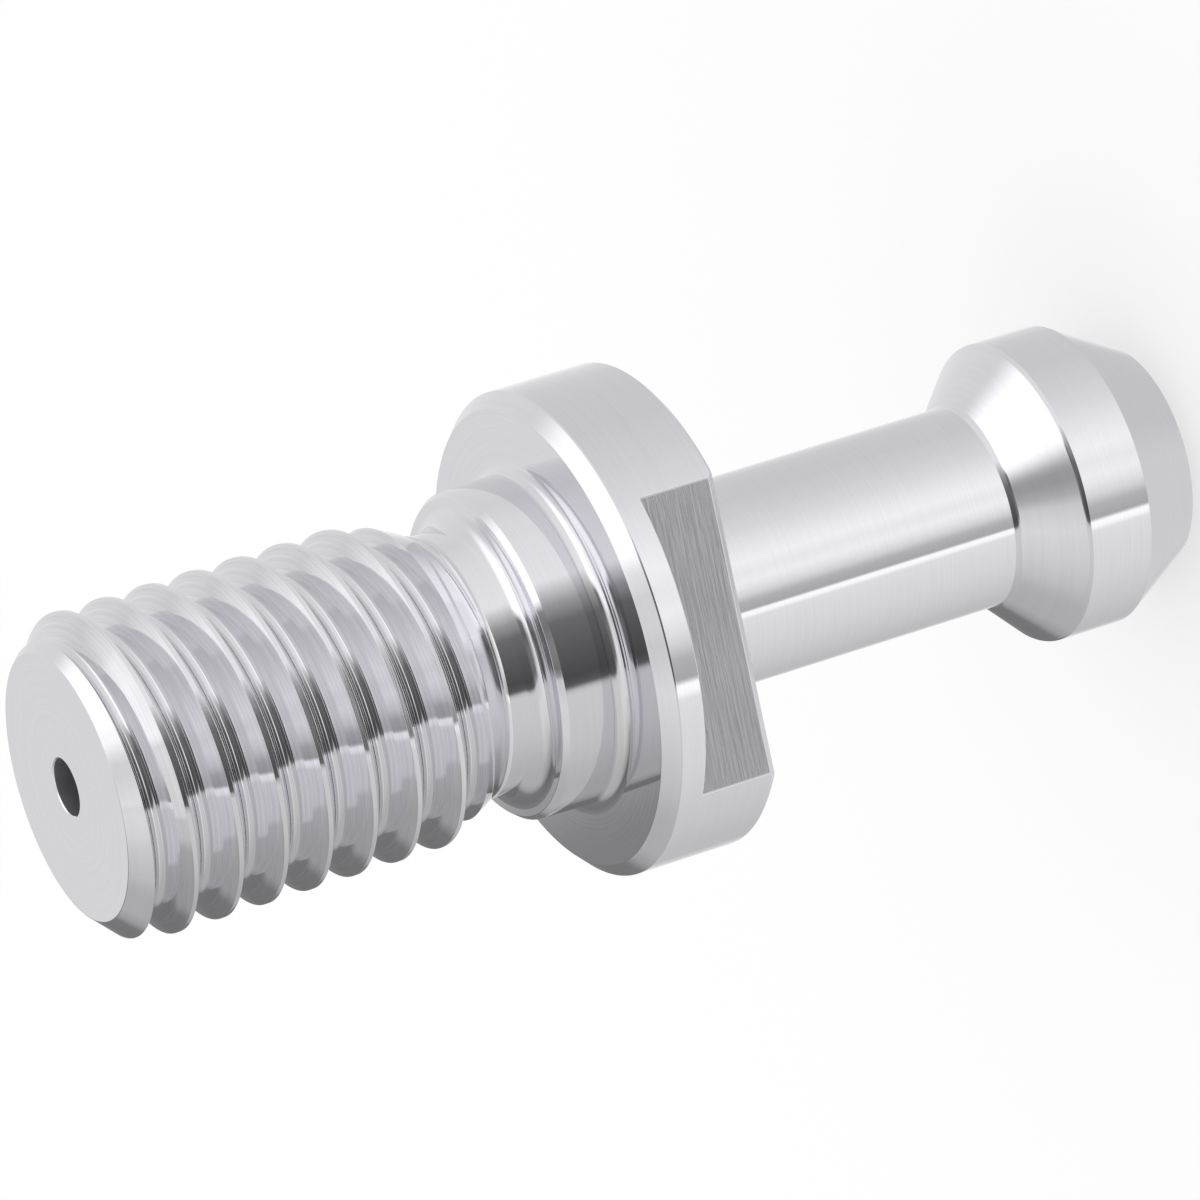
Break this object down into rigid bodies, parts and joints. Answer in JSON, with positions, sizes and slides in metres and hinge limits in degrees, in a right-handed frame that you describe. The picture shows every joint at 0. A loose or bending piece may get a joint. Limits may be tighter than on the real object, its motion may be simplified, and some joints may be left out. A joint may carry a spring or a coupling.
{
  "type": "pull stud",
  "caption": "Turned steel pull stud with a coarse threaded shank, a pilot, a flange with wrench flats and a coned gripping head, bored through for coolant.",
  "frame": {"origin": "on the stud's axis, in the plane of the flange's seat face", "axes": "+Z along the axis towards the thread's free end, +X square to one wrench flat"},
  "size_m": [0.024, 0.024, 0.0579],
  "materials": {
    "steel": "bright turned and ground, uncoated"
  },
  "bodies": {
    "root": {"pull_stud": "steel"}
  },
  "joints": []
}
